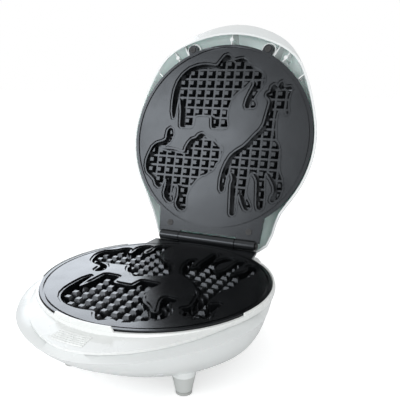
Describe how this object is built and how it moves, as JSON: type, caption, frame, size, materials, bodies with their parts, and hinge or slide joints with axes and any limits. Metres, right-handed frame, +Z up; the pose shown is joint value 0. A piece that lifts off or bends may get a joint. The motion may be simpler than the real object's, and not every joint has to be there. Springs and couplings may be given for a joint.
{
  "type": "animal waffle maker",
  "caption": "Round hinged countertop waffle maker with cast plates holding animal-shaped moulds, a flared front lip, a domed lid and short feet; its lid swings from open to shut.",
  "frame": {"origin": "centre of the footprint of the open waffle maker, on the table under its foot pads", "axes": "+X to the right seen from the front, along the hinge pin; +Y from the front lip to the hinge; +Z up"},
  "size_m": [0.2006, 0.3136, 0.2761],
  "materials": {
    "housing": "glossy off-white moulding",
    "trim": "glossy white moulding, a shade lighter than the bowl",
    "cast_plate": "cast plate with a dark satin non-stick coating",
    "rubber_pad": "soft grey rubber",
    "steel_screw": "zinc-plated steel",
    "dark_screw": "blackened steel",
    "heater_tube": "heat-tinted steel tube",
    "spring_steel": "plain bright steel",
    "shield_sheet": "aluminised sheet",
    "ceramic_body": "cream heat-proof body",
    "gland_black": "matt black",
    "lens_red": "clear red lens",
    "lens_green": "clear green lens"
  },
  "bodies": {
    "base": {"base_bowl": "housing", "base_bezel": "trim", "feet": "housing", "foot_pads": "rubber_pad", "foot_screws": "steel_screw", "base_screws": "steel_screw", "lower_plate": "cast_plate", "lower_heater": "heater_tube", "lower_heater_clips": "spring_steel", "lower_clip_screws": "steel_screw", "lower_heat_shield": "shield_sheet", "thermostat": "ceramic_body", "thermostat_screws": "steel_screw", "terminal_block": "ceramic_body", "cord_gland": "gland_black", "hinge_pin": "dark_screw", "pin_clip": "dark_screw"},
    "lid": {"lid_shell": "housing", "upper_plate": "cast_plate", "ear_screws": "dark_screw", "flange_screws": "dark_screw", "upper_heater": "heater_tube", "upper_heater_clips": "spring_steel", "upper_clip_screws": "steel_screw", "upper_heat_shield": "shield_sheet", "shield_screws": "steel_screw", "thermal_fuse": "ceramic_body", "fuse_clip": "spring_steel", "power_lens": "lens_red", "ready_lens": "lens_green"}
  },
  "joints": [
    {"name": "lid_hinge", "type": "hinge", "parent": "base", "child": "lid", "pos_m": [0, 0.07302, 0.06395], "axis": [1, 0, 0], "range_deg": [0, 106.8]}
  ]
}
